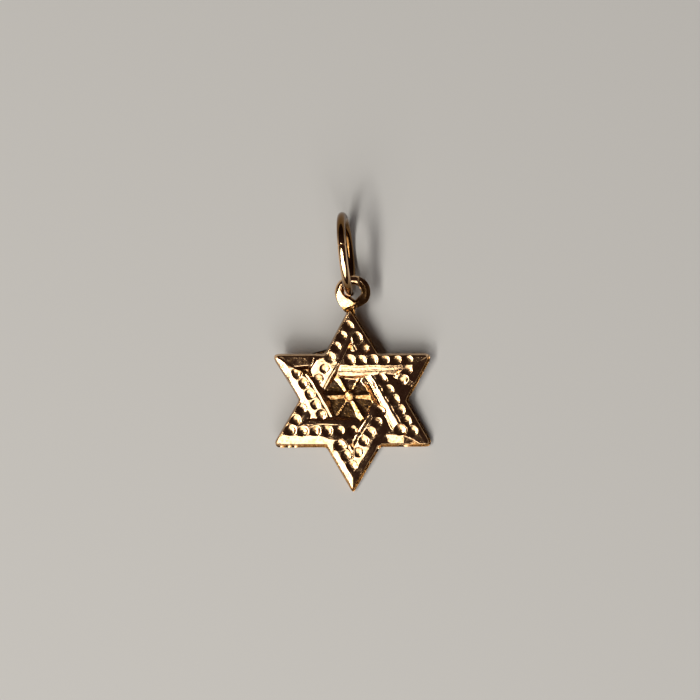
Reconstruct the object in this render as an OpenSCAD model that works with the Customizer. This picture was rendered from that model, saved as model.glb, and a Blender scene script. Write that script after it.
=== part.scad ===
// Small cast gold charm: a woven six-pointed star with rows of punched dots, an eyelet and a jump ring.
// It lies as it rests: the star's bottom and lower right points and the upright ring touch the surface.
// Millimetres, +Z up, +Y from the star toward the ring, the origin under the middle of the whole charm.

/* [Plate] */
// Distance from the middle of the star to each of its twelve edges
edge_apothem = 3.34; // [2.8:0.02:4.5]
// Radius of the rounded points
tip_r = 0.36; // [0.24:0.02:0.6]
// Radius of the bottom point, the sharpest
low_tip_r = 0.16; // [0.16:0.02:0.36]
// Radius of the fillets in the six notches
notch_r = 0.3; // [0.1:0.05:0.5]
// Thickness of the base plate
plate_t = 0.55; // [0.4:0.05:0.6]

/* [Face] */
// Width of the plate's rim left outside the raised face
rim_w = 0.1; // [0.06:0.01:0.3]
// How far the face is struck off the plate's middle, toward the eyelet
face_shift = 0.1; // [0:0.02:0.2]
// Height of the sunk ground over the back of the plate
ground_h = 0.68; // [0.62:0.02:0.9]
// Lean of the face's side wall, in degrees
wall_draft = 12; // [5:1:25]

/* [Weave] */
// Distance from the middle of the pattern to each row of dots
row_apothem = 2.49; // [2.2:0.01:2.7]
// How far the pattern is struck off the plate's middle, toward the eyelet
weave_shift = 0.52; // [0.2:0.01:0.7]
// How far the pattern is struck off the plate's middle, to the left
weave_left = 0.06; // [0:0.01:0.15]
// Rise of a band over the ground where it passes over another
weave_rise = 0.5; // [0.3:0.02:0.7]
// Width of the flat top of a band
lane_w = 0.76; // [0.7:0.02:0.9]
// Fall of a band's outer slope, in degrees
outer_fall = 19; // [10:1:25]
// Fall of a band's inner slope, in degrees
inner_fall = 17; // [8:1:25]
// Fall of a band's inner side below its crease, in degrees
side_fall = 46; // [35:1:70]

/* [Dots] */
// Width of a punched dot
dot_d = 0.68; // [0.5:0.02:0.76]
// Depth of a punched dot
dot_depth = 0.2; // [0.1:0.01:0.3]

/* [Middle] */
// Distance from the middle of the sunk hexagon to its sides
hex_apothem = 1.75; // [1.5:0.01:1.85]
// How far the hexagon lies left of the middle of the pattern
hex_left = 0.24; // [0:0.01:0.26]
// How far the hexagon lies below the middle of the pattern
hex_down = 0.1; // [0:0.01:0.2]
// Width of each of the six rays
ray_w = 0.66; // [0.4:0.02:0.8]
// Height of each ray over the ground
ray_h = 0.17; // [0.1:0.01:0.3]
// Width of the bead where the rays meet
bead_d = 0.66; // [0.4:0.02:0.9]

/* [Eyelet] */
// Bore of the eyelet
eye_bore = 1.14; // [1.1:0.02:1.6]
// Thickness of the eyelet's round section
eye_wire = 0.64; // [0.5:0.02:0.9]
// How far the eyelet lies left of the star's long axis
eye_left = 0.06; // [0:0.01:0.1]
// Gap left between the top point and the eyelet's wire, bridged by the neck
neck_len = 0.2; // [0.08:0.02:0.4]
// Width of the neck
neck_w = 0.86; // [0.6:0.02:1]
// Thickness of the neck
neck_t = 0.52; // [0.4:0.02:0.6]
// Place on the eyelet, below its level middle, where each of the neck's two legs starts, in degrees
leg_from = 35; // [20:5:45]

/* [Jump ring] */
// Outer diameter of the ring
ring_od = 6; // [5:0.1:7]
// Diameter of the ring's wire
ring_wire = 0.6; // [0.4:0.02:0.64]
// Lean of the ring off upright, its top to the left, in degrees
ring_lean = 5.4; // [0:0.1:10]
// Turn of the ring off the star's long axis, its far end to the left, in degrees
ring_turn = 6; // [0:0.1:10]
// How far the wire lies from the middle of the eyelet, away from the star
ring_play = 0.12; // [0:0.01:0.14]
// How far the wire lies from the middle of the eyelet, to the left
ring_slip = 0.1; // [0:0.01:0.1]

/* [Rest] */
// Tilt of the plate off the surface, hinged on its bottom and lower right points, in degrees
rest_tilt = 8.6; // [7.5:0.1:11]

/* [Hidden] */
$fn = 64;

ARMS = 6;
DOTS_A_SIDE = 10;
ARC_STEPS = 6;
LOW_ARM = 4;
LEAST_R = 0.05;
// Each band: direction that its outer edge faces, and how far its flat top leans outward, in degrees
BANDS = [[90, 3], [150, 0], [210, 6], [270, -2], [330, 0], [30, 3]];
// Top of a band along its run: place in dots from its middle, and share of the rise
RUN = [
    [-5, 0.55], [-3.6, 0.8], [-2.7, 0.95], [-1.7, 1], [-0.8, 0.9], [0.7, 0.32],
    [1.3, 0.14], [2.3, 0.14], [3.4, 0.76], [5, 0.55]
];
// Dots that show, counted from the end where the band lies on top; two are covered by the next band
DOTS_SHOWN = [0, 1, 2, 3, 4, 5, 8, 9];

// How far hidden ends run into what carries them
root_h = 0.1;
neck_root = 0.4;
ray_root = 0.1;
ray_sink = 0.05;
least_edge = 0.05;
band_past = 0.2;
// The eyelet's legs are this much thinner than its wire, and its wire lies this far over the back
leg_inset = 0.02;
eye_lift = 0.06;
dot_step = 2 * row_apothem * sqrt(3) / DOTS_A_SIDE;
tip_reach = 2 * edge_apothem - tip_r;
tip_arc = 2 * edge_apothem - 2 * tip_r;
face_apothem = edge_apothem - rim_w;
face_tip_share = 0.75;
top_h = ground_h + weave_rise + band_past;
dot_ball_r = (dot_d * dot_d / 4 + dot_depth * dot_depth) / (2 * dot_depth);
eye_ring_r = (eye_bore + eye_wire) / 2;
eye_y = tip_reach + neck_len + eye_wire + eye_bore / 2;
eye_h = eye_wire / 2 + eye_lift;

function turned(p, a) = [p.x * cos(a) - p.y * sin(a), p.x * sin(a) + p.y * cos(a)];
function along(a) = [cos(a), sin(a)];

// Outline of the star: at each arm a rounded point, then the fillet of the next notch
function star_outline(apothem, usual_r, low_r, fillet_r) = [
    for (k = [0:ARMS - 1])
        let (tip_a = 30 + 60 * k, notch_a = tip_a + 30, point_r = k == LOW_ARM ? low_r : usual_r)
        for (p = concat(
            [for (i = [0:ARC_STEPS])
                along(tip_a) * (2 * apothem - 2 * point_r)
                + along(tip_a - 60 + 120 * i / ARC_STEPS) * point_r],
            [for (i = [0:ARC_STEPS])
                along(notch_a) * (apothem + fillet_r) / cos(30)
                + along(notch_a + 210 - 60 * i / ARC_STEPS) * fillet_r]))
            p
];

// Solid between two outlines that have as many points each; its ends are fans round the middle
module drafted(low, high, z0, z1) {
    n = len(low);
    polyhedron(
        points = concat(
            [for (p = low) [p.x, p.y, z0]], [for (p = high) [p.x, p.y, z1]],
            [[0, 0, z0], [0, 0, z1]]),
        faces = concat(
            [for (i = [0:n - 1]) [2 * n, i, (i + 1) % n]],
            [for (i = [0:n - 1]) [2 * n + 1, (i + 1) % n + n, i + n]],
            [for (i = [0:n - 1]) [i, i + n, (i + 1) % n + n]],
            [for (i = [0:n - 1]) [i, (i + 1) % n + n, (i + 1) % n]]));
}

// Space that the raised face may fill, with its leaning side wall
module face_space() {
    inset = (top_h - root_h) * tan(wall_draft);
    grown = (plate_t - root_h) * tan(wall_draft);
    usual_r = tip_r * face_tip_share + grown;
    low_r = low_tip_r * face_tip_share + grown;
    translate([0, face_shift])
        drafted(
            star_outline(face_apothem + grown, usual_r, low_r, notch_r),
            star_outline(
                face_apothem + grown - inset, max(LEAST_R, usual_r - inset), max(LEAST_R, low_r - inset),
                notch_r + inset),
            root_h, top_h);
}

function run_h(t) = ground_h + weave_rise * lookup(t, RUN);

// Place along a band, in dots from its middle, as the angle round the middle of the pattern
function run_angle(t) = atan(t * dot_step / row_apothem);

// Distance from the middle of the pattern to the inner crease of the band that faces one way
function crease_at(face_a) = hex_apothem + [-hex_left, -hex_down] * along(face_a);

// Section of a band: distance from the middle of the pattern, and height, from its inner foot round
function band_section(h, crease, lean) =
    let (
        lane_in = row_apothem - lane_w / 2,
        lane_out = row_apothem + lane_w / 2,
        far = edge_apothem + weave_shift + weave_left + band_past,
        in_h = h + tan(lean) * lane_w / 2,
        out_h = h - tan(lean) * lane_w / 2,
        crease_h = in_h - (lane_in - crease) * tan(inner_fall))
    [
        [crease - (crease_h - root_h) / tan(side_fall), root_h],
        [crease, crease_h],
        [lane_in, in_h],
        [lane_out, out_h],
        [far, max(root_h + least_edge, out_h - (far - lane_out) * tan(outer_fall))],
        [far, root_h]
    ];

// Section at one place of the band that faces one way, in space
function placed_section(band, t) =
    [for (p = band_section(run_h(t), crease_at(band[0]), band[1]))
        concat(turned([p[0], p[0] * tan(run_angle(t))], band[0]), p[1])];

// Where two lines meet, each given by the way that it faces and its distance from the middle
function corner(a, da, b, db) =
    [da * sin(b) - db * sin(a), db * cos(a) - da * cos(b)] / sin(b - a);

// Section at the mitre between a band and the one that ends where it starts
function mitre_section(band, before) =
    let (
        lean = (band[1] + before[1]) / 2,
        s = band_section(run_h(-DOTS_A_SIDE / 2), crease_at(band[0]), lean),
        r = band_section(run_h(-DOTS_A_SIDE / 2), crease_at(before[0]), lean))
    [for (i = [0:len(s) - 1])
        concat(corner(band[0], s[i][0], before[0], r[i][0]), (s[i][1] + r[i][1]) / 2)];

// Three bands, each given by the way that it faces and its lean, mitred into a triangular ring
module woven_ring(bands) {
    sections = [
        for (b = [0:2])
            for (j = [0:len(RUN) - 2])
                j == 0 ? mitre_section(bands[b], bands[(b + 2) % 3]) : placed_section(bands[b], RUN[j][0])
    ];
    n = len(sections[0]);
    m = len(sections);
    polyhedron(
        points = [for (s = sections) for (p = s) p],
        faces = concat(
            [for (j = [0:m - 1]) for (i = [0:n - 1])
                [j * n + i, (j + 1) % m * n + i, (j + 1) % m * n + (i + 1) % n]],
            [for (j = [0:m - 1]) for (i = [0:n - 1])
                [j * n + i, (j + 1) % m * n + (i + 1) % n, j * n + (i + 1) % n]]));
}

module weave() {
    for (k = [0, 1]) woven_ring([for (i = [0:2]) BANDS[k + 2 * i]]);
}

// Spheres that punch the dots
module dots() {
    for (b = BANDS) rotate(b[0])
        for (i = DOTS_SHOWN)
            let (t = i - DOTS_A_SIDE / 2)
            translate([row_apothem, t * dot_step, run_h(t) + dot_ball_r - dot_depth])
                sphere(dot_ball_r);
}

// Six rays and the bead in the sunk hexagon
module rays() {
    translate([-hex_left, -hex_down, ground_h]) {
        for (k = [0:ARMS - 1]) rotate(60 * k)
            rotate([90, 0, 90])
                linear_extrude(hex_apothem / cos(30) + ray_root)
                    polygon([[-ray_w / 2, -ray_sink], [ray_w / 2, -ray_sink], [0, ray_h]]);
        translate([0, 0, ray_h / 2]) sphere(bead_d / 2);
    }
}

// The eyelet, with the two legs and the neck that join it to the top point
module eyelet() {
    leg_r = eye_wire / 2 - leg_inset;
    translate([-eye_left, eye_y, eye_h])
        rotate_extrude() translate([eye_ring_r, 0]) circle(eye_wire / 2);
    for (side = [-1, 1])
        let (from = eye_ring_r * [side * cos(leg_from), -sin(leg_from)], to = [0, -eye_ring_r - leg_r / 3])
        translate([from.x - eye_left, eye_y + from.y, eye_h])
            rotate([90, 0, atan2(to.x - from.x, from.y - to.y)])
                cylinder(h = norm(to - from), r = leg_r);
    translate([0, (tip_reach + eye_y - eye_ring_r) / 2, eye_h])
        cube([neck_w, eye_y - eye_ring_r - tip_reach + 2 * neck_root, neck_t], center = true);
}

// The star flat on its back, its middle at the origin
module flat_star() {
    difference() {
        union() {
            linear_extrude(plate_t) polygon(star_outline(edge_apothem, tip_r, low_tip_r, notch_r));
            intersection() {
                face_space();
                union() {
                    linear_extrude(ground_h) square(6 * edge_apothem, center = true);
                    translate([-weave_left, weave_shift]) weave();
                    translate([-weave_left, weave_shift]) rays();
                }
            }
        }
        translate([-weave_left, weave_shift]) dots();
    }
    eyelet();
}

// Rest: the plate is hinged up on the line that touches its bottom and lower right points
low_c = [0, 2 * low_tip_r - 2 * edge_apothem];
side_c = tip_arc * along(-30);
hinge_a = atan2(side_c.y - low_c.y, side_c.x) - asin((tip_r - low_tip_r) / norm(side_c - low_c));
hinge_reach = -low_c.y * cos(hinge_a) + low_tip_r;

function tilted(p) =
    let (q = turned([p.x, p.y], -hinge_a),
        r = [q.x, q.y * cos(rest_tilt) - p.z * sin(rest_tilt)],
        s = turned(r, hinge_a))
    [s.x, s.y, q.y * sin(rest_tilt) + p.z * cos(rest_tilt) + hinge_reach * sin(rest_tilt)];

// The ring stands on the surface and its wire threads the eyelet
ring_r = (ring_od - ring_wire) / 2;
ring_h = ring_r * cos(ring_lean) + ring_wire / 2;
eye_at = tilted([-eye_left - ring_slip, eye_y + ring_play, eye_h]);
ring_drop = asin((ring_h - eye_at.z) / (ring_r * cos(ring_lean)));
ring_back = ring_r * cos(ring_drop);
ring_side = ring_r * sin(ring_drop) * sin(ring_lean);
ring_at = [
    eye_at.x - ring_back * sin(ring_turn) - ring_side * cos(ring_turn),
    eye_at.y + ring_back * cos(ring_turn) - ring_side * sin(ring_turn)
];

// Middle of the whole charm, seen from above
left_x = min([for (k = [0:ARMS - 1]) tilted(concat(along(30 + 60 * k) * tip_arc, 0)).x]) - tip_r;
right_x = max([for (k = [0:ARMS - 1]) tilted(concat(along(30 + 60 * k) * tip_arc, 0)).x]) + tip_r;
low_y = tilted(concat(low_c, 0)).y - low_tip_r * cos(rest_tilt);
high_y = ring_at.y + ring_r * sqrt(1 - pow(cos(ring_lean) * sin(ring_turn), 2)) + ring_wire / 2;
middle = [(left_x + right_x) / 2, (low_y + high_y) / 2];

module star() {
    color("gold")
        translate([-middle.x, -middle.y, hinge_reach * sin(rest_tilt)])
            rotate(hinge_a) rotate([rest_tilt, 0, 0]) rotate(-hinge_a)
                flat_star();
}

module jump_ring() {
    color("goldenrod")
        translate([ring_at.x - middle.x, ring_at.y - middle.y, ring_h])
            rotate(ring_turn) rotate([0, 90 - ring_lean, 0])
                rotate_extrude() translate([ring_r, 0]) circle(ring_wire / 2);
}

star();
jump_ring();
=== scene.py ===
"""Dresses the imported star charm: a cast woven star with its eyelet, a jump ring and a plain stage."""
import dataclasses
import math
import types

import bpy
import numpy as np
from mathutils import Matrix, Vector


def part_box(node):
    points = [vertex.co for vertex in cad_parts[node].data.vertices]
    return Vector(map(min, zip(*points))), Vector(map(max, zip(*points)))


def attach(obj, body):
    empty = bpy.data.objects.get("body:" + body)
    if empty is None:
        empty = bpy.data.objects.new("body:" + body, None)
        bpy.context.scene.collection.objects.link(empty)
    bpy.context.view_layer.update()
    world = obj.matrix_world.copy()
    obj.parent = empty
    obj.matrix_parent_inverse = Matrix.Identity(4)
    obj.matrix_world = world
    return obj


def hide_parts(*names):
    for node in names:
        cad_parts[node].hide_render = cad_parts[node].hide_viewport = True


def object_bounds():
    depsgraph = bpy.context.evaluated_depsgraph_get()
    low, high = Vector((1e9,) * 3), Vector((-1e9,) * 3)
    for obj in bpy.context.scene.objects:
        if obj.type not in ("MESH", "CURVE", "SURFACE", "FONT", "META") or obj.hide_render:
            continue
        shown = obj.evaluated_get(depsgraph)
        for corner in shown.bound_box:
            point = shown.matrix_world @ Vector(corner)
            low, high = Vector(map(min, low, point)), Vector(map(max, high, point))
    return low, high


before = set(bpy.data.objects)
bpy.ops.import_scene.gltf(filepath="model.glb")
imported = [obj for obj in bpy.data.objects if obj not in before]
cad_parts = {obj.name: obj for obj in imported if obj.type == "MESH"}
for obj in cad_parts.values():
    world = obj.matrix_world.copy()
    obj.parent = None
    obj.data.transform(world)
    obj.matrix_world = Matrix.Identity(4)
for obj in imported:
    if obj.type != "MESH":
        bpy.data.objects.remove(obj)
CAD_BOX = [list(map(float, corner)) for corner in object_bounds()]

bl_info = {
    "name": "Woven star charm",
    "version": (1, 0, 0),
    "blender": (4, 5, 0),
    "location": "3D View > Sidebar > Charm",
    "description": "Models a small cast gold star charm and its jump ring on a plain stage",
    "category": "Object",
}

# The shapes are worked out in millimetres, and this makes them metres
MM = 0.001
ARMS = 6


# Sizes and colours


def millimetres(name, description, default):
    """Length property, or one for a place, whose default is written in millimetres"""
    if isinstance(default, tuple):
        return bpy.props.FloatVectorProperty(
            name=name, description=description, default=[v * MM for v in default], size=len(default),
            unit="LENGTH", precision=6)
    return bpy.props.FloatProperty(
        name=name, description=description, default=default * MM, unit="LENGTH", precision=6)


def degrees(name, description, default):
    """Angle property whose default is written in degrees"""
    return bpy.props.FloatProperty(
        name=name, description=description, default=math.radians(default), unit="ROTATION", precision=2)


def colour(name, description, default):
    """Colour property"""
    return bpy.props.FloatVectorProperty(
        name=name, description=description, default=default, subtype="COLOR", size=3)


def sizes_of(settings):
    """Sizes of a property group, lengths in millimetres and angles in degrees"""
    found = types.SimpleNamespace()
    for prop in settings.bl_rna.properties:
        if prop.type != "FLOAT":
            continue
        value = getattr(settings, prop.identifier)
        if prop.unit == "LENGTH":
            value = tuple(v / MM for v in value) if prop.is_array else value / MM
        elif prop.unit == "ROTATION":
            value = math.degrees(value)
        setattr(found, prop.identifier, value)
    return found


class StarSizes(bpy.types.PropertyGroup):
    """Sizes of the cast star"""

    edge: millimetres("Edge distance", "Distance from the middle of the star to its edges", 3.34)
    tip: millimetres("Tip radius", "Radius of the rounded points", 0.36)
    low_tip: millimetres("Bottom tip radius", "Radius of the bottom point", 0.16)
    top_tip: millimetres("Top tip radius", "Radius of the top point, which runs out over the neck", 0.09)
    notch: millimetres("Notch radius", "Radius of the fillets in the notches", 0.3)
    plate: millimetres("Plate thickness", "Thickness of the base plate", 0.55)
    rim: millimetres("Rim width", "Width of the rim left outside the raised face", 0.05)
    face_shift: millimetres("Face shift", "Place of the raised face on the plate", (-0.08, 0.09))
    blank_top: millimetres("Blank height", "Height of the face before its relief is struck", 1.0)
    ground: millimetres("Ground height", "Height of the sunk ground over the back", 0.68)
    rise: millimetres("Band rise", "Rise of a band where it passes over another", 0.5)
    row: millimetres("Row distance", "Distance from the pattern's middle to each row of dots", 2.49)
    lane: millimetres("Lane width", "Width of the flat top of a band", 0.76)
    shift: millimetres("Pattern shift", "Place of the pattern's middle on the plate", (-0.06, 0.52))
    dot: millimetres("Dot width", "Width of a punched dot", 0.86)
    dot_depth: millimetres("Dot depth", "Depth of a punched dot", 0.07)
    dot_lip: millimetres("Dot lip", "Width of the cone around the cap of a punched dot", 0.08)
    hexagon: millimetres("Hexagon", "Distance from the middle of the sunk hexagon to its sides", 1.75)
    hexagon_shift: millimetres("Hexagon shift", "Place of the hexagon in the pattern", (-0.24, -0.1))
    ray: millimetres("Ray height", "Height of the six rays over the ground", 0.14)
    ray_half: millimetres("Ray half width", "Half of the width of a ray at its foot", 0.4)
    bead: millimetres("Bead radius", "Radius of the bead in the middle", 0.4)
    groove: millimetres("Groove depth", "Depth of the line cut along the inner side of each band", 0.03)
    shoulder: millimetres("Shoulder", "Width of the steep edge of the raised face", 0.05)
    wobble: millimetres("Wobble", "How far the hand-cut pattern strays from even", 0.022)
    lean: millimetres("Top lean", "How far the top point leans left of the long axis", 0.27)
    eye_bore: millimetres("Eyelet bore", "Bore of the eyelet", 1.14)
    eye_wire: millimetres("Eyelet thickness", "Thickness of the eyelet's round section", 0.64)
    eye_left: millimetres("Eyelet offset", "How far the eyelet lies left of the long axis", 0.1)
    neck: millimetres("Neck length", "Gap between the top point and the eyelet's wire", 0.2)
    voxel: millimetres("Grain of the mesh", "Size of the cells that the casting is remeshed with", 0.038)
    tilt: degrees("Tilt", "Tilt of the plate off the floor", 8.6)
    turn: degrees("Hinge direction", "Direction of the line that it rests on", 31.36)


class RingSizes(bpy.types.PropertyGroup):
    """Sizes of the jump ring"""

    across: millimetres("Outer diameter", "Outer diameter of the ring", 6.0)
    wire: millimetres("Wire", "Diameter of the wire", 0.6)
    gap: millimetres("Seam gap", "Gap left at the joint", 0.03)
    lean: degrees("Lean", "Lean of the ring off upright", 5.4)
    turn: degrees("Turn", "Turn of the ring off the long axis", 6)
    seam: degrees("Seam place", "Place of the closed joint, from the top toward the far end", 13)


class Finish(bpy.types.PropertyGroup):
    """Colours of the gold and of the stage"""

    gold: colour("Gold", "Colour of the polished gold", (0.9, 0.58, 0.31))
    # The deep gold is the colour of the painted shade in the recesses, along the rim and on the eyelet's
    # right
    painted_shade_gold: colour("Deep gold", "Colour of the gold in the recesses", (0.36, 0.18, 0.05))
    # The wire's painted shade: a darker colour for the wire away from the highlight near its joint
    wire_painted_shade: colour("Tarnish", "Colour of the wire away from its joint", (0.2, 0.1, 0.03))
    floor: colour("Floor", "Colour of the floor", (0.62, 0.62, 0.59))


# The woven bands


def slope(fall):
    """Slope of a fall given in degrees"""
    return math.tan(math.radians(fall))


OUTER_SLOPE = slope(19)
INNER_SLOPE = slope(17)
STRIP_SLOPE = slope(20)
SIDE_SLOPE = slope(46)
ALL_DOTS = (0, 1, 2, 3, 4, 5, 8, 9)
DOTS_A_SIDE = 10


@dataclasses.dataclass
class Band:
    """One woven band, in millimetres, with places along it counted in dots from its middle.

    A value that changes along the band is a row of pairs, each of a place and the value there.
    """

    # Direction that it faces, in degrees
    faces: int
    # Top along the run, as places and shares of the rise, with straight stretches between them
    run: tuple
    # How far its dots lie out and along from their even place
    off: tuple
    # Slope of the flat top toward the outside, and how far inward from the row it goes on
    lean: object = 0
    lean_in: object = None
    # Width of the flat top inward from the row, and how much wider than half a lane it is outward
    flat_in: object = 0.5
    widened: object = 0
    # Slopes of its outer and its inner side
    outer: object = OUTER_SLOPE
    inner: object = INNER_SLOPE
    # How much further in its crease lies than the hexagon's side, and width of the slope inside the crease
    crease: object = 0
    strip: object = 0
    # Height of the line raised on the crease, and share of the groove's depth
    ridge: object = 0.02
    cut: object = 1
    # How far it covers the ends of its two neighbours, with places in millimetres up the pattern
    covers: object = 0
    # How closely its dots follow each other, which of them are there, and how far wear has closed them
    pitch: float = 1
    dots: tuple = ALL_DOTS
    worn: dict = dataclasses.field(default_factory=dict)
    # Dots punched off their row, and how far out and along
    stray: dict = dataclasses.field(default_factory=dict)


LEFT_TOP = Band(
    150, off=(0.17, 0.2), cut=0.2, stray={0: (-0.1, 0), 3: (0.06, 0)},
    run=((-5, 0.55), (-3.6, 0.8), (-2.7, 0.95), (-1.7, 1), (-1, 0.87), (0.5, 0.36), (0.9, 0.22),
         (2.3, 0.38), (3.4, 0.6), (5, 0.62)),
    widened=((-1.7, 0), (-1, 0.36), (-0.1, 0.36), (0.5, 0)),
    outer=((-1.7, OUTER_SLOPE), (-1, OUTER_SLOPE + 0.6), (0.8, OUTER_SLOPE + 0.6), (1.3, OUTER_SLOPE)))
RIGHT_TOP = Band(
    30, off=(-0.18, -0.09), lean=slope(3), ridge=0.03, cut=0.7, stray={8: (0.06, 0), 9: (0.1, -0.06)},
    run=((-5, 0.85), (-3.6, 0.92), (-2.7, 0.98), (-1.7, 1), (-0.8, 0.9), (0.7, 0.32), (1.3, 0.14),
         (2.3, 0.14), (3.4, 0.76), (5, 0.55)),
    flat_in=((-3.5, 0.65), (-2, 0.58)),
    crease=((-3.5, 0.3), (-2, 0.15)),
    strip=((-0.2, 0.08), (0.8, 0.38)),
    covers=((-0.9, 1.35), (-0.3, 0)))
BOTTOM = Band(
    270, off=(0.1, -0.13), lean=slope(-2), ridge=0.014, dots=(0, 1, 2, 3, 4, 5, 9),
    run=((-5, 0.55), (-3.6, 0.8), (-2.7, 0.95), (-1.7, 1), (-0.8, 0.9), (0.7, 0.32), (1.3, 0.14), (2, 0.14),
         (2.4, 0.56), (4.2, 0.62), (5.4, 0.2), (6.5, -0.2)),
    widened=((-3.3, -0.03), (-1.6, 0.23), (1.4, 0.23), (2, -0.03)),
    cut=((-3.2, 0.3), (-2.7, 1), (-1.5, 1), (-1, 0.3)))
TOP = Band(
    90, off=(-0.04, 0.16), lean=slope(3), flat_in=0.4, strip=0.34, covers=0.6,
    pitch=0.94, dots=(0, 1, 2, 3, 4, 5, 9), worn={9: 0.085},
    run=((-5, 0.55), (-3.6, 0.72), (-2.7, 0.8), (-1.7, 0.82), (-0.8, 0.8), (1, 0.7), (1.6, 0.3), (2.3, 0.3),
         (3.6, 0.52), (5, 0.5)),
    inner=((2.2, INNER_SLOPE), (2.7, INNER_SLOPE + 0.7)),
    ridge=((2.2, 0.03), (2.7, 0)),
    cut=((2.2, 1), (2.7, 0)))
LEFT_LOW = Band(
    210, off=(0.16, 0.1), lean=((2.2, slope(6)), (2.8, 0)), lean_in=0.2, flat_in=0.55, ridge=0.035, cut=1.7,
    dots=(*ALL_DOTS, 10), worn={0: 0.06},
    run=((-5, 0.78), (-3.6, 0.84), (-2.7, 0.86), (-1.7, 0.86), (-0.8, 0.8), (0.7, 0.4), (1.3, 0.2),
         (2.3, 0.2), (3, 0.45), (5, 0.4)))
RIGHT_LOW = Band(
    330, off=(0, 0), inner=slope(27), dots=(1, 2, 3, 4, 5, 8, 9),
    run=((-5.4, 0.34), (-4.3, 0.66), (-3.2, 0.94), (-1.7, 1), (-0.8, 0.9), (0.7, 0.32), (1.3, 0.14),
         (2.3, 0.14), (3.4, 0.76), (5, 0.55)),
    stray={
        1: (-0.14, 0.07), 2: (-0.23, 0.09), 3: (-0.11, 0), 4: (-0.1, 0), 5: (-0.28, -0.15), 8: (0.08, 0.14),
        9: (-0.01, -0.05)})
# The bands of the upright triangle and of the one that hangs
UPRIGHT = (LEFT_TOP, RIGHT_TOP, BOTTOM)
HANGING = (TOP, LEFT_LOW, RIGHT_LOW)


# Relief of the star's face


RIDGE_WIDTH = 0.05
RIDGE_BACK = 0.03
GROOVE_WIDTH = 0.035
GROOVE_AT = 0.44
# Radius of the rounded crease where a band meets what it passes over
CREASE_BLEND = 0.04
# How high a band lies over what it crosses where it still counts as sunk, and where it no longer does
STILL_SUNK = -0.02
RAISED = 0.06
# The sunk ground falls toward the top by these degrees, this far each way, and its fall fades out here
GROUND_FALL = 3
GROUND_FALL_REACH = 1.5
GROUND_FALL_FADE = (2.1, 2.6)
# A ray is this share of its height at the middle, and grows by this share a millimetre
RAY_START = 0.3
RAY_GROWTH = 0.36
# Rays that are half as high as the others, by number from the right
FAINT_RAYS = (1, 4)
# Height of the bead over the ground, and the direction and degrees of its fall
BEAD_TOP = 0.26
BEAD_FACES = 240
BEAD_FALL = 11
# Radius of the bead's ball, in radii of the bead
BEAD_BALL = 2.6
# Depth of the cone round the cap of a dot
CONE_DEPTH = 0.03
# Height and width of the burr raised round the cap, and how far outside the cap it lies
DOT_BURR = 0.012
BURR_WIDTH = 0.025
BURR_OUT = 0.015
# How far past its width a dot still cuts, how much painted shade darkens its middle, and how far in that is
# reached
DOT_PAST = 0.02
DOT_DARK = 0.5
DOT_DARK_IN = 0.2


def step(low, high, x):
    """Smooth step from 0 to 1"""
    t = np.clip((x - low) / (high - low), 0, 1)
    return t * t * (3 - 2 * t)


def eased(t, value):
    """Value at a place, from one number or from pairs of places and numbers with smooth steps between"""
    if not isinstance(value, tuple):
        return value
    found = value[0][1]
    for (low, before), (high, after) in zip(value, value[1:]):
        found = found + (after - before) * step(low, high, t)
    return found


def soft_max(a, b, blend):
    """Larger of two heights, with a rounded crease where they meet"""
    near = np.clip(blend - np.abs(a - b), 0, None) / blend
    return np.maximum(a, b) + near * near * blend / 4


def line(d, width):
    """Rounded profile of a thin line, from the distance to its middle"""
    return np.exp(-(d / width) ** 2)


def facing(x, y, way):
    """Distance out along a direction in degrees, and distance along the run that turns left from it"""
    c, s = math.cos(math.radians(way)), math.sin(math.radians(way))
    return x * c + y * s, y * c - x * s


def reach_of(triangle, x, y):
    """Largest distance of a place out along the directions that a triangle's bands face"""
    return np.max([facing(x, y, band.faces)[0] for band in triangle], axis=0)


def dot_step(s):
    """Distance from one dot to the next"""
    return 2 * s.row * math.sqrt(3) / DOTS_A_SIDE


def run_height(s, band, t):
    """Height of the top of a band in the middle of its lane"""
    return s.ground + s.rise * np.interp(t, *zip(*band.run))


def crease_place(s, band, t):
    """How far inward from the row of dots a band's crease lies"""
    side = s.hexagon + facing(*s.hexagon_shift, band.faces)[0]
    return s.row + band.off[0] - side + eased(t, band.crease)


def band_height(s, band, out, along):
    """Height of one band, from the distances out and along"""
    t = along / dot_step(s)
    top = run_height(s, band, t)
    lean = eased(t, band.lean)
    half = s.lane / 2 + eased(t, band.widened)
    flat_in = eased(t, band.flat_in)
    lean_in = flat_in if band.lean_in is None else band.lean_in
    crease = crease_place(s, band, t)
    strip = eased(t, band.strip)
    inner = eased(t, band.inner)
    inward = s.row + band.off[0] - out
    lane = top + lean * np.minimum(inward, lean_in)
    outer_side = top - lean * half + (inward + half) * eased(t, band.outer)
    inner_side = top + lean * lean_in - (inward - flat_in) * inner
    crease_top = top + lean * lean_in - (crease - flat_in) * inner
    strip_side = crease_top - (inward - crease) * STRIP_SLOPE
    steep_side = crease_top - strip * STRIP_SLOPE - (inward - crease - strip) * SIDE_SLOPE
    made = np.select(
        (inward < -half, inward < flat_in, inward < crease, inward < crease + strip),
        (outer_side, lane, inner_side, strip_side), steep_side)
    ridge = eased(t, band.ridge) * line(inward - crease + RIDGE_BACK, RIDGE_WIDTH)
    groove = s.groove * eased(t, band.cut) * line(inward - GROOVE_AT, GROOVE_WIDTH)
    return made + ridge - groove


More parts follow.
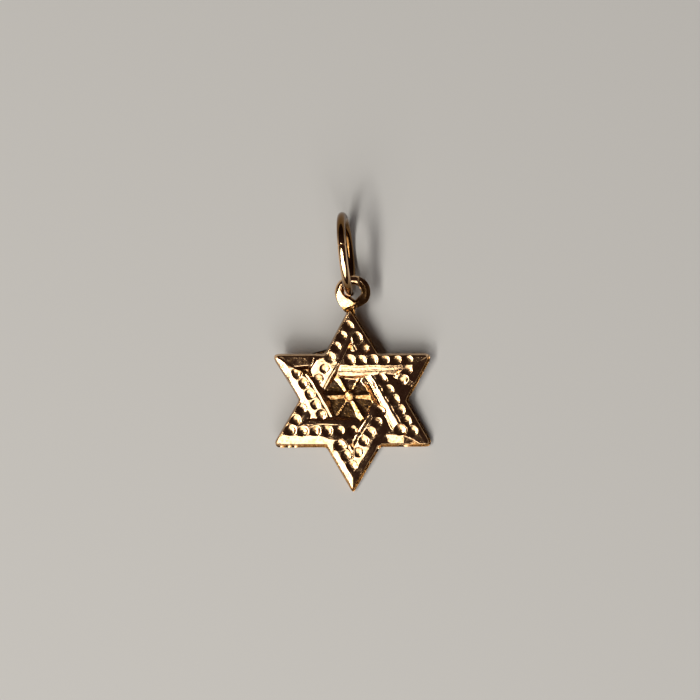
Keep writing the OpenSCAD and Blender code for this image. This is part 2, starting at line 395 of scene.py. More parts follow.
def middle_height(s, x, y):
    """Height of the sunk hexagon with its six rays and bead"""
    away = np.hypot(x, y)
    near, far = GROUND_FALL_FADE
    fallen = np.clip(y, -GROUND_FALL_REACH, GROUND_FALL_REACH) * slope(GROUND_FALL)
    ground = s.ground - fallen * step(far, near, away)
    height = ground
    for k in range(ARMS):
        out, along = facing(x, y, 360 / ARMS * k)
        share = (RAY_START + RAY_GROWTH * out) * (0.5 if k in FAINT_RAYS else 1)
        ray = ground + s.ray * (share - np.abs(along) / s.ray_half)
        height = np.where(out > 0, np.maximum(height, ray), height)
    ball = s.bead * BEAD_BALL
    bead = s.ground + BEAD_TOP - ball + np.sqrt(np.clip(ball ** 2 - away ** 2, 0, None))
    bead -= facing(x, y, BEAD_FACES)[0] * slope(BEAD_FALL)
    return np.where(away < s.bead, np.maximum(height, bead), height)


def hand_cut(s, x, y):
    """Places with the small errors of a pattern cut by hand"""
    return (
        x + s.wobble * (np.sin(2.3 * y + 1.1 * x + 0.7) + 0.6 * np.sin(5.9 * x - 3.7 * y)),
        y + s.wobble * (np.sin(2.7 * x - 0.9 * y + 2.1) + 0.6 * np.sin(6.3 * y + 3.1 * x + 1.2)))


def dot_places(s, band):
    """Number of each dot of a band, with its distances out and along"""
    for i in band.dots:
        out, along = band.stray.get(i, (0, 0))
        even = (i - DOTS_A_SIDE / 2) * dot_step(s) * band.pitch
        yield i, s.row + band.off[0] + out, even + band.off[1] + along


def dot_profile(s, d):
    """Height of a punched dot under its band, from the distance to its middle: a cap, a cone and a burr"""
    cap = s.dot / 2 - s.dot_lip
    ball = (cap ** 2 + s.dot_depth ** 2) / (2 * s.dot_depth)
    pit = np.where(
        d < cap, ball - s.dot_depth - np.sqrt(np.clip(ball ** 2 - d ** 2, 0, None)) - CONE_DEPTH,
        (d - cap - s.dot_lip) * CONE_DEPTH / s.dot_lip)
    return pit + DOT_BURR * line(d - cap - BURR_OUT, BURR_WIDTH)


def relief(s, x, y):
    """Height of the face over the back of the plate, and how sunk each place is, which sets its painted
    shade
    """
    u, v = hand_cut(s, x - s.shift[0], y - s.shift[1])
    height = middle_height(s, u - s.hexagon_shift[0], v - s.hexagon_shift[1])
    sunk = np.ones_like(height)
    for triangle in (UPRIGHT, HANGING):
        outs = [facing(u, v, band.faces)[0] + eased(v, band.covers) for band in triangle]
        nearest = np.argmax(outs, axis=0)
        made = np.zeros_like(u)
        for i, band in enumerate(triangle):
            made = np.where(nearest == i, band_height(s, band, *facing(u, v, band.faces)), made)
        sunk = np.minimum(sunk, step(RAISED, STILL_SUNK, made - height))
        height = soft_max(height, made, CREASE_BLEND)
    for band in UPRIGHT + HANGING:
        out, along = facing(u, v, band.faces)
        t = along / dot_step(s)
        for i, dot_out, dot_along in dot_places(s, band):
            d = np.hypot(out - dot_out, along - dot_along)
            plane = run_height(s, band, t) - (out - dot_out) * eased(t, band.lean)
            pit = plane + dot_profile(s, d) + band.worn.get(i, 0)
            height = np.where(d < s.dot / 2 + DOT_PAST, np.minimum(height, pit), height)
            # The middles of the dots get painted shade
            sunk = np.maximum(sunk, step(s.dot / 2, s.dot / 2 - DOT_DARK_IN, d) * DOT_DARK)
    return height, sunk


# Handling of objects and selections


def let_go():
    """Leave edit mode and deselect everything"""
    if bpy.context.object and bpy.context.object.mode != "OBJECT":
        bpy.ops.object.mode_set(mode="OBJECT")
    bpy.ops.object.select_all(action="DESELECT")


def hold(obj):
    """Make one object the only selected and the active one"""
    let_go()
    obj.select_set(True)
    bpy.context.view_layer.objects.active = obj


def pick(obj, vertices=None, faces=None):
    """Select a mesh's vertices or faces by a test on their place, and return to edit mode"""
    bpy.ops.object.mode_set(mode="EDIT")
    bpy.ops.mesh.select_mode(type="VERT" if vertices else "FACE")
    bpy.ops.mesh.select_all(action="DESELECT")
    bpy.ops.object.mode_set(mode="OBJECT")
    for item in (obj.data.vertices if vertices else obj.data.polygons):
        item.select = bool((vertices or faces)(item))
    bpy.ops.object.mode_set(mode="EDIT")


def modified(obj, kind, **values):
    """Add a modifier with the given values and apply it"""
    hold(obj)
    made = obj.modifiers.new(kind.title(), kind)
    for name, value in values.items():
        setattr(made, name, value)
    bpy.ops.object.modifier_apply(modifier=made.name)


def joined(objects, name):
    """Join objects into the first and name it"""
    hold(objects[0])
    for obj in objects[1:]:
        obj.select_set(True)
    bpy.ops.object.join()
    objects[0].name = objects[0].data.name = name
    return objects[0]


def places(obj):
    """Places of a mesh's vertices as an array"""
    found = np.empty(len(obj.data.vertices) * 3)
    obj.data.vertices.foreach_get("co", found)
    return found.reshape(-1, 3)


def put_places(obj, at):
    """Move a mesh's vertices to the places in an array"""
    obj.data.vertices.foreach_set("co", at.reshape(-1))
    obj.data.update()


def put_attribute(obj, name, values):
    """Store one number for each vertex under a name that materials read"""
    layer = obj.data.attributes.new(name, "FLOAT", "POINT")
    layer.data.foreach_set("value", np.asarray(values, dtype=np.float32))


def settled(obj, matrix):
    """Bake a place into the mesh, in metres, so that the object itself sits at the origin"""
    obj.data.transform(Matrix.Scale(MM, 4) @ matrix)
    obj.matrix_world = Matrix.Identity(4)
    obj.data.update()


# The cast star


# The eyelet is a little wider than long, and its middle is this far over half its thickness
EYE_WIDER = 1.05
EYE_RAISED = 0.06
# Legs of the eyelet: which side, and radius. They leave the ring this many degrees under its middle
LEGS = ((-1, 0.33), (1, 0.29))
LEG_START = 18
# Where the legs meet, from the lowest point of the ring's middle line
FOOT = (-0.02, -0.33)
# Full lower left of the eyelet: its place from the middle, half sizes and turn
CHEEK_PLACE = (-0.28, -0.72)
CHEEK_HALVES = (0.82, 0.42, 0.31)
CHEEK_TURN = -32
# The neck's place across, its width and thickness, and how far it goes into the point and the ring
NECK_ACROSS = 0.08
NECK_WIDE = 0.52
NECK_INTO_TIP = 0.4
NECK_INTO_RING = 0.2
# Corners of the blank, as shares of the edge distance: the points lie further out than the first, the top
# and the bottom one further along than the second, and the notches nearer than the third
POINTS_FROM = 1.5
ENDS_FROM = 1.9
NOTCHES_TO = 1.2
# Size of the top of the raised face, as a share of its foot
FACE_TAPER = 0.98
# The walls are thinned out from here over the back to here under the plate's top, short of the neck
WALL_OVER_BACK = 0.08
WALL_UNDER_TOP = 0.12
WALL_TO = 6
# Share of the faces that is left on the back and on the walls
BACK_LEFT = 0.02
WALLS_LEFT = 0.4
# Facet worn on the left of the eyelet: its height at a place left of and under the middle, and which way
# and by how many degrees it falls
WORN_LEFT_HEIGHT = 0.2
WORN_LEFT_PLACE = (-0.45, -0.62)
WORN_LEFT_FACES = 239
WORN_LEFT_FALL = 16
# It ends this far right of the middle, and this far out along a direction
WORN_LEFT_TO = 0.4
WORN_LEFT_END_FACES = -49
WORN_LEFT_END = 0.72
# The left facet starts this far under the end of the top point, and the flat on the rest this far
WORN_LEFT_FROM = 0.2
WORN_TOP_FROM = 0.1
# Flat worn on the rest of the eyelet, with a thin line raised along it
WORN_TOP_HEIGHT = 0.17
WORN_TOP_FACES = 45
WORN_TOP_FALL = 7
WORN_LINE_OUT = 0.1
WORN_LINE_HEIGHT = 0.03
WORN_LINE_WIDTH = 0.05
# The relief starts this far outside the raised face, and is at its full height this much further in
FACE_MARGIN = 0.1
RELIEF_FADE = 0.06
# Fall of the steep shoulder round the raised face, its longest run, and how much further in it lies at the
# upper right
SHOULDER_FALL = 54
SHOULDER_RUN = 0.2
EDGE_SKEW = (0.02, 0.035)
# How far in from its edge the face is smoothed
SMOOTHED_IN = 0.1
# Rim along the bottom edge: its height over the plate, where it ends on the way inward, and how near the
# edges of the hanging triangle it lies
LOW_RIM_HEIGHT = 0.1
LOW_RIM_FROM = 0.22
LOW_RIM_TO = 0.29
LOW_RIM_NEAR = 0.1
# Places along the bottom rim with dents that catch the light, where the painted shade of the rim is left
# off, and half their width
RIM_MARKS = ((-5.19, 0.15), (-4.62, 0.13), (-4.18, 0.13), (1.75, 0.1), (3.67, 0.3))
# How far inside and outside the bottom edge and under the plate's top the marks reach
MARKS_INSIDE = 0.3
MARKS_OUTSIDE = 0.2
MARKS_UNDER = 0.05
# Fall of the marks in degrees, how far inside the edge it starts, and its length
MARK_FALL = 20
MARK_FALL_FROM = 0.28
MARK_FALL_LENGTH = 0.35
# How far within the relief and over the plate the painted shade of the recesses starts and is full
FACE_TONE_FROM = (0.05, 0.2)
FACE_TONE_OVER = 0.1
# How far inside the face's edge the painted shade of the rim is gone, and full
RIM_TONE_FROM = (0.12, 0.02)
# Strength of the painted shade on the rim and on the bottom rim's slope, and how much of it is left off
# along the upper edge, so that a lighter line shows there, from where to where up the star
RIM_TONE = 2
LOW_RIM_TONE = 0.7
UPPER_EDGE_SHADE_OFF = 1.5
UPPER_EDGE_OFF_FROM = (2.9, 3.1)
UPPER_EDGE_OFF_TO = 3.6
# Strength of the painted shade on the eyelet's right, the direction in which it darkens, and where it
# starts and is full
EYE_TONE = 1.3
EYE_TONE_FACES = -20
EYE_TONE_FROM = (-0.1, 0.5)
# The lean starts here, grows over this length, and fades out so far under the eyelet's middle
LEAN_FROM = 1
LEAN_LENGTH = 5.5
LEAN_FADE = (1.35, 0.6)
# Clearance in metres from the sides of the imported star's box
CLEARANCE = 0.00001


def star_blank(s):
    """Plate with a raised blank face, from a twelve-cornered disc"""
    bpy.ops.mesh.primitive_circle_add(vertices=2 * ARMS, radius=2 * s.edge, fill_type="NGON")
    obj = bpy.context.object
    pick(obj, vertices=lambda v: v.index % 2 == 1)
    bpy.ops.transform.resize(value=(1 / math.sqrt(3),) * 3)
    ends = ENDS_FROM * s.edge
    rounds = (
        (lambda v: v.co.length > POINTS_FROM * s.edge and abs(v.co.y) < ends, s.tip * math.sqrt(3)),
        (lambda v: v.co.y < -ends, s.low_tip * math.sqrt(3)),
        (lambda v: v.co.y > ends, s.top_tip * math.sqrt(3)),
        (lambda v: v.co.length < NOTCHES_TO * s.edge, s.notch / math.sqrt(3)))
    for test, offset in rounds:
        pick(obj, vertices=test)
        bpy.ops.mesh.bevel(offset=offset, segments=6, affect="VERTICES")
    bpy.ops.mesh.select_all(action="SELECT")
    bpy.ops.mesh.extrude_region_move(TRANSFORM_OT_translate={"value": (0, 0, s.plate)})
    bpy.ops.mesh.select_all(action="SELECT")
    bpy.ops.mesh.normals_make_consistent(inside=False)
    pick(obj, faces=lambda f: f.normal.z > 0.9)
    bpy.ops.mesh.inset(thickness=s.rim)
    bpy.ops.transform.translate(value=(*s.face_shift, 0))
    bpy.ops.mesh.extrude_region_move(TRANSFORM_OT_translate={"value": (0, 0, s.blank_top - s.plate)})
    bpy.ops.transform.resize(
        value=(FACE_TAPER, FACE_TAPER, 1), center_override=(*s.face_shift, s.blank_top))
    bpy.ops.object.mode_set(mode="OBJECT")
    return obj


def tip_end(s):
    """How far up the rounded top point would reach with the radius of the others"""
    return 2 * s.edge - s.tip


def eye_ring(s):
    """Radius of the middle line of the eyelet's ring"""
    return (s.eye_bore + s.eye_wire) / 2


def eye_middle(s):
    """Middle of the eyelet"""
    return Vector((
        -s.eye_left, tip_end(s) + s.neck + s.eye_wire + s.eye_bore / 2, s.eye_wire / 2 + EYE_RAISED))


def eyelet(s):
    """Round eyelet with the two legs and the neck that run into the top point"""
    ring_r = eye_ring(s)
    at = eye_middle(s)
    bpy.ops.mesh.primitive_torus_add(
        major_radius=ring_r, minor_radius=s.eye_wire / 2, major_segments=96, minor_segments=32, location=at)
    bpy.context.object.scale.x = EYE_WIDER
    parts = [bpy.context.object]
    foot = Vector((FOOT[0], FOOT[1] - ring_r, 0))
    start_angle = math.radians(LEG_START)
    for side, thick in LEGS:
        start = Vector((side * ring_r * math.cos(start_angle), -ring_r * math.sin(start_angle), 0))
        way = foot - start
        bpy.ops.mesh.primitive_cylinder_add(
            vertices=32, radius=thick, depth=way.length, location=at + (start + foot) / 2,
            rotation=way.to_track_quat("Z", "Y").to_euler())
        parts.append(bpy.context.object)
    bpy.ops.mesh.primitive_uv_sphere_add(
        segments=48, ring_count=24, radius=1, location=at + Vector((*CHEEK_PLACE, 0)),
        rotation=(0, 0, math.radians(CHEEK_TURN)))
    bpy.context.object.scale = CHEEK_HALVES
    parts.append(bpy.context.object)
    low, high = tip_end(s) - NECK_INTO_TIP, at.y - ring_r + NECK_INTO_RING
    bpy.ops.mesh.primitive_cube_add(size=1, location=(NECK_ACROSS, (low + high) / 2, at.z))
    neck = bpy.context.object
    neck.scale = (NECK_WIDE, high - low, NECK_WIDE)
    bpy.ops.object.transform_apply(location=True, rotation=True, scale=True)
    parts.append(neck)
    return parts


def thin_plain_sides(s, body):
    """Thin out the mesh of the flat back and of the plate's walls, which carry no relief"""
    wall_top = s.plate - WALL_UNDER_TOP
    pick(body, faces=lambda f: f.normal.z < -0.98 and f.center.z < 0.1)
    bpy.ops.mesh.decimate(ratio=BACK_LEFT)
    pick(body, faces=lambda f: (
        abs(f.normal.z) < 0.3 and WALL_OVER_BACK < f.center.z < wall_top and f.center.y < WALL_TO))
    bpy.ops.mesh.decimate(ratio=WALLS_LEFT)
    bpy.ops.object.mode_set(mode="OBJECT")


def inside_face(s, x, y):
    """How far inside the raised face's outline a place is"""
    x, y = x - s.face_shift[0], y - s.face_shift[1]
    return s.edge - s.rim - np.minimum(reach_of(UPRIGHT, x, y), reach_of(HANGING, x, y))


def face_edges(s, x, y):
    """How far inside the face and its edge each place is, and its share of the bottom rim and its marks"""
    rim_here = reach_of(HANGING, x, y) > s.edge - LOW_RIM_NEAR
    marks = np.max([line(x - place, half) for place, half in RIM_MARKS], axis=0)
    return types.SimpleNamespace(
        within=inside_face(s, x, y) + FACE_MARGIN,
        edge_in=inside_face(s, x + EDGE_SKEW[0], y + EDGE_SKEW[1]),
        low_rim=step(LOW_RIM_TO, LOW_RIM_FROM, y + s.edge) * rim_here,
        bright=marks * (y < MARKS_INSIDE - s.edge) * (y > -s.edge - MARKS_OUTSIDE))


def struck_face(s, edges, height, z):
    """Heights of the vertices once the relief is struck into the blank face"""
    struck = s.plate + (z - s.plate) * (height - s.plate) / (s.blank_top - s.plate)
    struck -= np.clip(s.shoulder - edges.edge_in, 0, SHOULDER_RUN) * slope(SHOULDER_FALL)
    struck -= edges.low_rim * np.clip(struck - s.plate - LOW_RIM_HEIGHT, 0, None)
    return z + (struck - z) * step(0, RELIEF_FADE, edges.within) * (z > s.plate)


def worn_eyelet(s, x, y, z):
    """Heights of the vertices once the eyelet is worn flat on its left and on its right"""
    eye = eye_middle(s)
    x, y = x - eye.x, y - eye.y
    tip = 2 * s.edge - eye.y
    left = (y > tip - WORN_LEFT_FROM) & (x < WORN_LEFT_TO)
    left &= facing(x, y, WORN_LEFT_END_FACES)[0] < WORN_LEFT_END
    from_facet = facing(x - WORN_LEFT_PLACE[0], y - WORN_LEFT_PLACE[1], WORN_LEFT_FACES)[0]
    facet = eye.z + WORN_LEFT_HEIGHT - slope(WORN_LEFT_FALL) * from_facet
    flat = eye.z + WORN_TOP_HEIGHT - slope(WORN_TOP_FALL) * facing(x, y, WORN_TOP_FACES)[0]
    flat += WORN_LINE_HEIGHT * line(np.hypot(x, y) - eye_ring(s) - WORN_LINE_OUT, WORN_LINE_WIDTH)
    z = np.where(left, np.minimum(z, facet), z)
    return np.where((y > tip - WORN_TOP_FROM) & ~left, np.minimum(z, flat), z)


def painted_shade_mask(s, edges, sunk, x, y, z):
    """Painted shade of each vertex: in the sunk ground and the dots between the bands, along the rim, and
    on the eyelet's right
    """
    eye = eye_middle(s)
    on_face = sunk * step(*FACE_TONE_FROM, edges.within) * (z > s.plate + FACE_TONE_OVER)
    # Painted shade along the rim, less of it along the upper edge
    rim = np.maximum(step(*RIM_TONE_FROM, edges.edge_in), LOW_RIM_TONE * edges.low_rim) * (y < 2 * s.edge)
    upper_edge_off = UPPER_EDGE_SHADE_OFF * step(*UPPER_EDGE_OFF_FROM, y) * (y < UPPER_EDGE_OFF_TO)
    on_rim = (RIM_TONE - upper_edge_off) * rim * (1 - edges.bright)
    # Painted shade on the eyelet's right
    to_right = facing(x - eye.x, y - eye.y, EYE_TONE_FACES)[0]
    on_eyelet = EYE_TONE * step(*EYE_TONE_FROM, to_right) * (y > 2 * s.edge - WORN_TOP_FROM)
    return np.maximum(np.maximum(on_face, on_rim), on_eyelet)


def strike(s, body):
    """Strike the relief into the blank, wear its eyelet and rim, store its painted shade, and smooth its
    edge
    """
    at = places(body)
    x, y, z = at.T.copy()
    height, sunk = relief(s, x, y)
    edges = face_edges(s, x, y)
    z = worn_eyelet(s, x, y, struck_face(s, edges, height, z))
    # Painted shade, stored for each vertex, darkens the gold's colour
    put_attribute(body, "painted_shade", painted_shade_mask(s, edges, sunk, x, y, z))
    mark_depth = slope(MARK_FALL) * np.clip(MARK_FALL_FROM - y - s.edge, 0, MARK_FALL_LENGTH)
    at[:, 2] = z - edges.bright * mark_depth * (z > s.plate - MARKS_UNDER)
    put_places(body, at)
    edge = np.flatnonzero(edges.edge_in < SMOOTHED_IN)
    body.vertex_groups.new(name="Edge").add(edge.tolist(), 1, "REPLACE")
    modified(body, "SMOOTH", factor=0.5, iterations=7, vertex_group="Edge")
    modified(body, "SMOOTH", factor=0.5, iterations=1)


def lean_top(s, body):
    """Lean the top point to the left, up to where the eyelet begins"""
    eye = eye_middle(s)
    at = places(body)
    y = at[:, 1]
    start, end = LEAN_FADE
    share = np.clip((y - LEAN_FROM) / LEAN_LENGTH, 0, 1) * step(eye.y - end, eye.y - start, y)
    at[:, 0] -= s.lean * share
    put_places(body, at)


def rest_matrix(s):
    """Turn from the star flat on its back to its rest on two points"""
    turn = Matrix.Rotation(math.radians(s.turn), 4, "Z")
    return turn @ Matrix.Rotation(math.radians(s.tilt), 4, "X") @ turn.inverted()


def seat_in_box(obj, node_name):
    """Move a mesh to the middle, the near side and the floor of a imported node's box"""
    low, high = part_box(node_name)
    at = places(obj)
    least, most = at.min(axis=0), at.max(axis=0)
    at += np.array([
        (low.x + high.x - least[0] - most[0]) / 2, low.y - least[1] + CLEARANCE,
        low.z - least[2] + CLEARANCE / 2])
    put_places(obj, at)


class CHARM_OT_cast_star(bpy.types.Operator):
    """Cast the woven star with its eyelet"""

    bl_idname = "charm.cast_star"
    bl_label = "Cast the star"

    def execute(self, context):
        s = sizes_of(context.scene.charm_star)
        let_go()
        body = joined([star_blank(s)] + eyelet(s), "Star_casting")
        modified(body, "REMESH", mode="VOXEL", voxel_size=s.voxel, adaptivity=0.0)
        thin_plain_sides(s, body)
        strike(s, body)
        lean_top(s, body)
        settled(body, rest_matrix(s))
        seat_in_box(body, "star")
        hold(body)
        bpy.ops.object.shade_smooth()
        body.data.materials.append(cast_gold(context.scene.charm_finish))
        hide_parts("star")
        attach(body, "root")
        return {"FINISHED"}


# The jump ring


# Flat rubbed on the ring: its place from the joint, its facing off the ring's plane, and half its angle
# round the wire
RUB_FROM_SEAM = 10
RUB_FACES = -5.6
RUB_HALF = 25
# How many degrees along the ring from the rub's middle it is still full, and gone
RUB_FADE = (9, 21)
# How far from the rub the wire is still free of painted shade, and fully shaded
WIRE_SHADE_FADE = (17, 42)
# Chamfer of the wire's ends
END_CHAMFER = 0.065


def wire_ring(s):
    """Round wire spun into a ring, with chamfered ends at its joint"""
    radius = (s.across - s.wire) / 2
    bpy.ops.mesh.primitive_circle_add(
        vertices=32, radius=s.wire / 2, fill_type="NGON", location=(radius, 0, 0),
        rotation=(math.pi / 2, 0, 0))
    wire = bpy.context.object
    bpy.ops.object.transform_apply(location=True, rotation=True, scale=True)
    bpy.ops.object.mode_set(mode="EDIT")
    bpy.ops.mesh.select_all(action="SELECT")
    bpy.ops.mesh.spin(steps=160, angle=2 * math.pi - s.gap / radius, center=(0, 0, 0), axis=(0, 0, 1))
    bpy.ops.mesh.select_all(action="SELECT")
    bpy.ops.mesh.remove_doubles(threshold=0.0001)
    bpy.ops.mesh.normals_make_consistent(inside=False)
    pick(wire, faces=lambda f: len(f.vertices) > 4)
    bpy.ops.mesh.bevel(offset=END_CHAMFER, segments=3, affect="EDGES")
    bpy.ops.object.mode_set(mode="OBJECT")
    return wire


def rub_flat(s, wire):
    """Rub a flat on one side of the ring, and paint shade on the rest of the wire"""
    radius = (s.across - s.wire) / 2
    at = places(wire)
    away = np.hypot(at[:, 0], at[:, 1])
    angle = np.degrees(np.arctan2(at[:, 1], at[:, 0]))
    off = np.abs((angle - s.seam + 180) % 360 - 180 - RUB_FROM_SEAM)
    # Painted shade that darkens the wire away from the rubbed flat
    put_attribute(wire, "painted_shade", step(*WIRE_SHADE_FADE, off))
    faces = math.radians(RUB_FACES)
    reach = (away - radius) * math.cos(faces) + at[:, 2] * math.sin(faces)
    full, gone = RUB_FADE
    over = np.clip(reach - s.wire / 2 * math.cos(math.radians(RUB_HALF)), 0, None) * step(gone, full, off)
    out = at[:, :2] / away[:, None]
    at[:, :2] -= out * (over * math.cos(faces))[:, None]
    at[:, 2] -= over * math.sin(faces)
    put_places(wire, at)


class CHARM_OT_bend_ring(bpy.types.Operator):
    """Bend the jump ring from round wire, with its joint closed"""

    bl_idname = "charm.bend_ring"
    bl_label = "Bend the jump ring"

    def execute(self, context):
        s = sizes_of(context.scene.charm_ring)
        let_go()
        wire = wire_ring(s)
        rub_flat(s, wire)
        low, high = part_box("jump_ring")
        centre = (low + high) / 2 / MM
        seam = Matrix.Rotation(math.pi - math.radians(s.seam), 4, "Z")
        turn = Matrix.Rotation(math.radians(s.turn), 4, "Z")
        stand = turn @ Matrix.Rotation(math.radians(90 - s.lean), 4, "Y")
        settled(wire, Matrix.Translation(centre) @ stand @ seam)
        wire.name = wire.data.name = "Jump_ring_wire"
        hold(wire)
        bpy.ops.object.shade_smooth_by_angle(angle=math.radians(50))
        wire.data.materials.append(wire_gold(context.scene.charm_finish))
        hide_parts("jump_ring")
        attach(wire, "root")
        return {"FINISHED"}


# Materials


# Sockets of a Mix node that mixes colours
MIX_MASK, MIX_A, MIX_B, MIXED = 0, 6, 7, 2
# Range of the noise that hazes the polish, and roughness of the two golds at its ends
HAZE = (0.35, 0.7)
CAST_ROUGH = (0.11, 0.22)
WIRE_ROUGH = (0.08, 0.16)
# Depth of the two golds' bumps in metres
CAST_BUMP = 0.000014
WIRE_BUMP = 0.00001


def group(name, inputs, outputs):
    """New shader node group with named inputs and outputs"""
    made = bpy.data.node_groups.new(name, "ShaderNodeTree")
    for label, kind, value in inputs:
        socket = made.interface.new_socket(name=label, in_out="INPUT", socket_type=kind)
        socket.default_value = value
    for label in outputs:
        made.interface.new_socket(name=label, in_out="OUTPUT", socket_type="NodeSocketFloat")
    return made, made.nodes.new("NodeGroupInput"), made.nodes.new("NodeGroupOutput")


def node(tree, kind, **values):
    """New node with the given values"""
    made = tree.nodes.new(kind)
    for name, value in values.items():
        setattr(made, name, value)
    return made


def maths(tree, operation, a, b, clamp=False):
    """Math node fed by sockets or numbers"""
    made = node(tree, "ShaderNodeMath", operation=operation, use_clamp=clamp)
    for i, value in enumerate((a, b)):
        if isinstance(value, (int, float)):
            made.inputs[i].default_value = value
        else:
            tree.links.new(value, made.inputs[i])
    return made.outputs[0]


def noise(tree, vector, scale, detail):
    """Noise at a scale that is a number or a socket"""
    made = node(tree, "ShaderNodeTexNoise")
    made.inputs["Detail"].default_value = detail
    tree.links.new(vector, made.inputs["Vector"])
    if isinstance(scale, (int, float)):
        made.inputs["Scale"].default_value = scale
    else:
        tree.links.new(scale, made.inputs["Scale"])
    return made.outputs["Fac"]


def ranged(tree, value, low, high, to_low, to_high):
    """Value moved from one range to another and kept inside it"""
    made = node(tree, "ShaderNodeMapRange")
    for label, number in (("From Min", low), ("From Max", high), ("To Min", to_low), ("To Max", to_high)):
        made.inputs[label].default_value = number
    tree.links.new(value, made.inputs["Value"])
    return made.outputs["Result"]


def mixed(tree, mask, a, b):
    """Mix of two colours by a mask"""
    made = node(tree, "ShaderNodeMix", data_type="RGBA")
    made.inputs[MIX_A].default_value = (*a, 1)
    made.inputs[MIX_B].default_value = (*b, 1)
    tree.links.new(mask, made.inputs[MIX_MASK])
    return made.outputs[MIXED]


def bumped(tree, shader, height, distance):
    """Feed a height to a shader's normal, with its depth in metres"""
    bump = node(tree, "ShaderNodeBump")
    bump.inputs["Distance"].default_value = distance
    tree.links.new(height, bump.inputs["Height"])
    tree.links.new(bump.outputs["Normal"], shader.inputs["Normal"])


def attribute(tree, name):
    """Value of a piece's own attribute"""
    return node(tree, "ShaderNodeAttribute", attribute_name=name).outputs["Fac"]


def handled_polish():
    """Height of soft waves and fine scratches left by tumbling and wear, and the haze of the polish"""
    found = bpy.data.node_groups.get("Handled polish")
    if found:
        return found
    made, given, out = group("Handled polish", (("Waves", "NodeSocketFloat", 1.0),), ("Height", "Haze"))
    at = node(made, "ShaderNodeTexCoord").outputs["Object"]
    waves = maths(made, "MULTIPLY", noise(made, at, scale=1600, detail=2), given.outputs["Waves"])
    stretched = node(made, "ShaderNodeMapping")
    stretched.inputs["Scale"].default_value = (1, 0.08, 1)
    stretched.inputs["Rotation"].default_value = (0, 0, math.radians(37))
    made.links.new(at, stretched.inputs["Vector"])
    scratches = maths(made, "POWER", noise(made, stretched.outputs[0], scale=14000, detail=2), 6.0)
    total = maths(made, "ADD", waves, maths(made, "MULTIPLY", scratches, 0.3))
    made.links.new(total, out.inputs["Height"])
    made.links.new(noise(made, at, scale=2600, detail=4), out.inputs["Haze"])
    return made


def cast_skin():
    """Fine grain of a casting, the speckle of its unpolished ground, and flecks of dirt"""
    made, given, out = group(
        "Cast skin", (("Size", "NodeSocketFloat", 9000.0),), ("Height", "Speckle", "Flecks"))
    at = node(made, "ShaderNodeTexCoord").outputs["Object"]
    grain = noise(made, at, scale=given.outputs["Size"], detail=4)
    speckle = noise(made, at, scale=7000, detail=2)
    flecks = noise(made, at, scale=5200, detail=3)
    made.links.new(grain, out.inputs["Height"])
    made.links.new(ranged(made, speckle, 0.4, 0.65, 0, 1), out.inputs["Speckle"])
    made.links.new(ranged(made, flecks, 0.5, 0.66, 0, 1), out.inputs["Flecks"])
    return made


def metal(name):
    """New material with its Principled shader set to metal"""
    made = bpy.data.materials.new(name)
    made.use_nodes = True
    shader = made.node_tree.nodes["Principled BSDF"]
    shader.inputs["Metallic"].default_value = 1
    return made, made.node_tree, shader


def polish_node(tree, waves):
    """Polish group placed in a material, with the height of its waves"""
    made = node(tree, "ShaderNodeGroup", node_tree=handled_polish())
    made.inputs["Waves"].default_value = waves
    return made


def cast_gold(look):
    """Gold of the casting: bright on the bands, and darkened by painted shade and grainier in the recesses,
    along the rim and on the eyelet's right, with flecks of dirt
    """
    made, tree, shader = metal("Cast_gold")
    polish = polish_node(tree, waves=1.6)
    skin = node(tree, "ShaderNodeGroup", node_tree=cast_skin())
    painted_shade = attribute(tree, "painted_shade")
    # Painted shade, speckled, with flecks of dirt added
    painted_shade_and_dirt = maths(tree, "MULTIPLY", painted_shade, ranged(tree, skin.outputs["Speckle"], 0, 1, 0.45, 1.0))
    painted_shade_and_dirt = maths(tree, "ADD", painted_shade_and_dirt, maths(tree, "MULTIPLY", skin.outputs["Flecks"], 0.5), clamp=True)
    tree.links.new(mixed(tree, painted_shade_and_dirt, look.gold, look.painted_shade_gold), shader.inputs["Base Color"])
    haze = ranged(tree, polish.outputs["Haze"], *HAZE, *CAST_ROUGH)
    rough = maths(tree, "ADD", haze, maths(tree, "MULTIPLY", painted_shade, 0.035))
    tree.links.new(rough, shader.inputs["Roughness"])
    grain = maths(tree, "MULTIPLY", skin.outputs["Height"], ranged(tree, painted_shade, 0, 1, 0.4, 0.65))
    height = maths(tree, "ADD", polish.outputs["Height"], grain)
    height = maths(tree, "SUBTRACT", height, maths(tree, "MULTIPLY", skin.outputs["Flecks"], 0.3))
    bumped(tree, shader, height, CAST_BUMP)
    return made


def wire_gold(look):
    """Gold of the drawn wire, darkened by painted shade away from its joint"""
    made, tree, shader = metal("Wire_gold")
    polish = polish_node(tree, waves=0.5)
    gold = mixed(tree, attribute(tree, "painted_shade"), look.gold, look.wire_painted_shade)
    tree.links.new(gold, shader.inputs["Base Color"])
    rough = ranged(tree, polish.outputs["Haze"], *HAZE, *WIRE_ROUGH)
    tree.links.new(rough, shader.inputs["Roughness"])
    bumped(tree, shader, polish.outputs["Height"], WIRE_BUMP)
    return made


def pale_floor(look):
    """Plain, pale and matt floor"""
    made = bpy.data.materials.new("Pale_floor")
    made.use_nodes = True
    shader = made.node_tree.nodes["Principled BSDF"]
    shader.inputs["Base Color"].default_value = (*look.floor, 1)
    shader.inputs["Roughness"].default_value = 0.9
    shader.inputs["Specular IOR Level"].default_value = 0.1
    return made


# Stage


FLOOR_WIDTH = 0.6
LIGHT_DISTANCE = 0.5
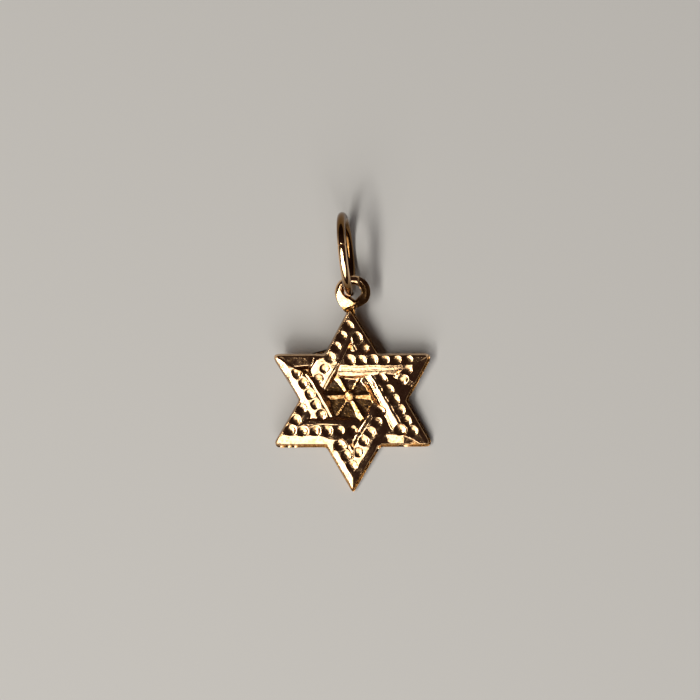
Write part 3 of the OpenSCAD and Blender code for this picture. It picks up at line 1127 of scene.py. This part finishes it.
# Name, direction and height in degrees, width and length in metres, watts, and colour of each light
LIGHTS = (
    ("Key_light", 213, 63.5, (0.065, 0.42), 1.4, (1, 0.96, 0.92)),
    ("Soft_light", 260, 46, (0.43, 0.43), 1.4, (1, 0.97, 0.96)))
DIM_ROOM = (1, 0.6, 0.6)
DIM_ROOM_STRENGTH = 0.026
# The camera looks straight down. The photo is this many pixels wide, and shows a millimetre as so many
PHOTO_WIDTH = 700
PIXELS_A_MM = 14.05
# The charm lies nearer to the camera than the floor does, and the lens is this much shorter for it
NEARNESS = 0.9975
CAMERA_PLACE = (-0.000171, 0.000142, 0.25)
FILM_WIDTH = 36


def area_light(name, azimuth, elevation, size, power, tint):
    """Soft light that looks at the charm from a direction, its long side along the charm"""
    az, el = math.radians(azimuth), math.radians(elevation)
    way = Vector((math.cos(el) * math.cos(az), math.cos(el) * math.sin(az), math.sin(el)))
    bpy.ops.object.light_add(type="AREA", location=way * LIGHT_DISTANCE)
    lamp = bpy.context.object
    lamp.name = lamp.data.name = name
    across = Vector((0, 1, 0)).cross(way).normalized()
    lamp.rotation_euler = Matrix((across, way.cross(across), way)).transposed().to_euler()
    lamp.data.shape = "ELLIPSE"
    lamp.data.size, lamp.data.size_y = size
    lamp.data.energy = power
    lamp.data.color = tint


def dim_room():
    """Faint warm light from all round"""
    made = bpy.data.worlds.new("Studio")
    made.use_nodes = True
    back = made.node_tree.nodes["Background"]
    back.inputs["Color"].default_value = (*DIM_ROOM, 1)
    back.inputs["Strength"].default_value = DIM_ROOM_STRENGTH
    return made


def photo_camera():
    """Camera straight above, at the photo's scale"""
    bpy.ops.object.camera_add(location=CAMERA_PLACE)
    camera = bpy.context.object
    camera.name = camera.data.name = "Photo_camera"
    photo_width_mm = PHOTO_WIDTH / PIXELS_A_MM
    camera.data.sensor_width = FILM_WIDTH
    camera.data.lens = FILM_WIDTH * CAMERA_PLACE[2] / MM / photo_width_mm * NEARNESS
    camera.data.clip_start = 0.01
    camera.data.clip_end = 2
    return camera


class CHARM_OT_set_stage(bpy.types.Operator):
    """Lay the floor and set the lights and the camera"""

    bl_idname = "charm.set_stage"
    bl_label = "Set the stage"

    def execute(self, context):
        let_go()
        bpy.ops.mesh.primitive_plane_add(size=FLOOR_WIDTH, location=(0, 0, CAD_BOX[0][2]))
        floor = bpy.context.object
        floor.name = floor.data.name = "Floor"
        floor.data.materials.append(pale_floor(context.scene.charm_finish))
        for light in LIGHTS:
            area_light(*light)
        context.scene.world = dim_room()
        context.scene.camera = photo_camera()
        context.scene.view_settings.view_transform = "Standard"
        return {"FINISHED"}


# Add-on


class CHARM_PT_panel(bpy.types.Panel):
    """Lists the steps that make the charm"""

    bl_idname = "CHARM_PT_panel"
    bl_label = "Woven star charm"
    bl_space_type = "VIEW_3D"
    bl_region_type = "UI"
    bl_category = "Charm"

    def draw(self, context):
        for operator in STEPS:
            self.layout.operator(operator.bl_idname)


STEPS = (CHARM_OT_cast_star, CHARM_OT_bend_ring, CHARM_OT_set_stage)
GROUPS = {"charm_star": StarSizes, "charm_ring": RingSizes, "charm_finish": Finish}


def register():
    for made in (*GROUPS.values(), *STEPS, CHARM_PT_panel):
        bpy.utils.register_class(made)
    for name, made in GROUPS.items():
        setattr(bpy.types.Scene, name, bpy.props.PointerProperty(type=made))


def unregister():
    for name in GROUPS:
        delattr(bpy.types.Scene, name)
    for made in (CHARM_PT_panel, *reversed(STEPS), *GROUPS.values()):
        bpy.utils.unregister_class(made)


def main():
    register()
    bpy.ops.charm.cast_star()
    bpy.ops.charm.bend_ring()
    bpy.ops.charm.set_stage()


if __name__ == "__main__":
    main()
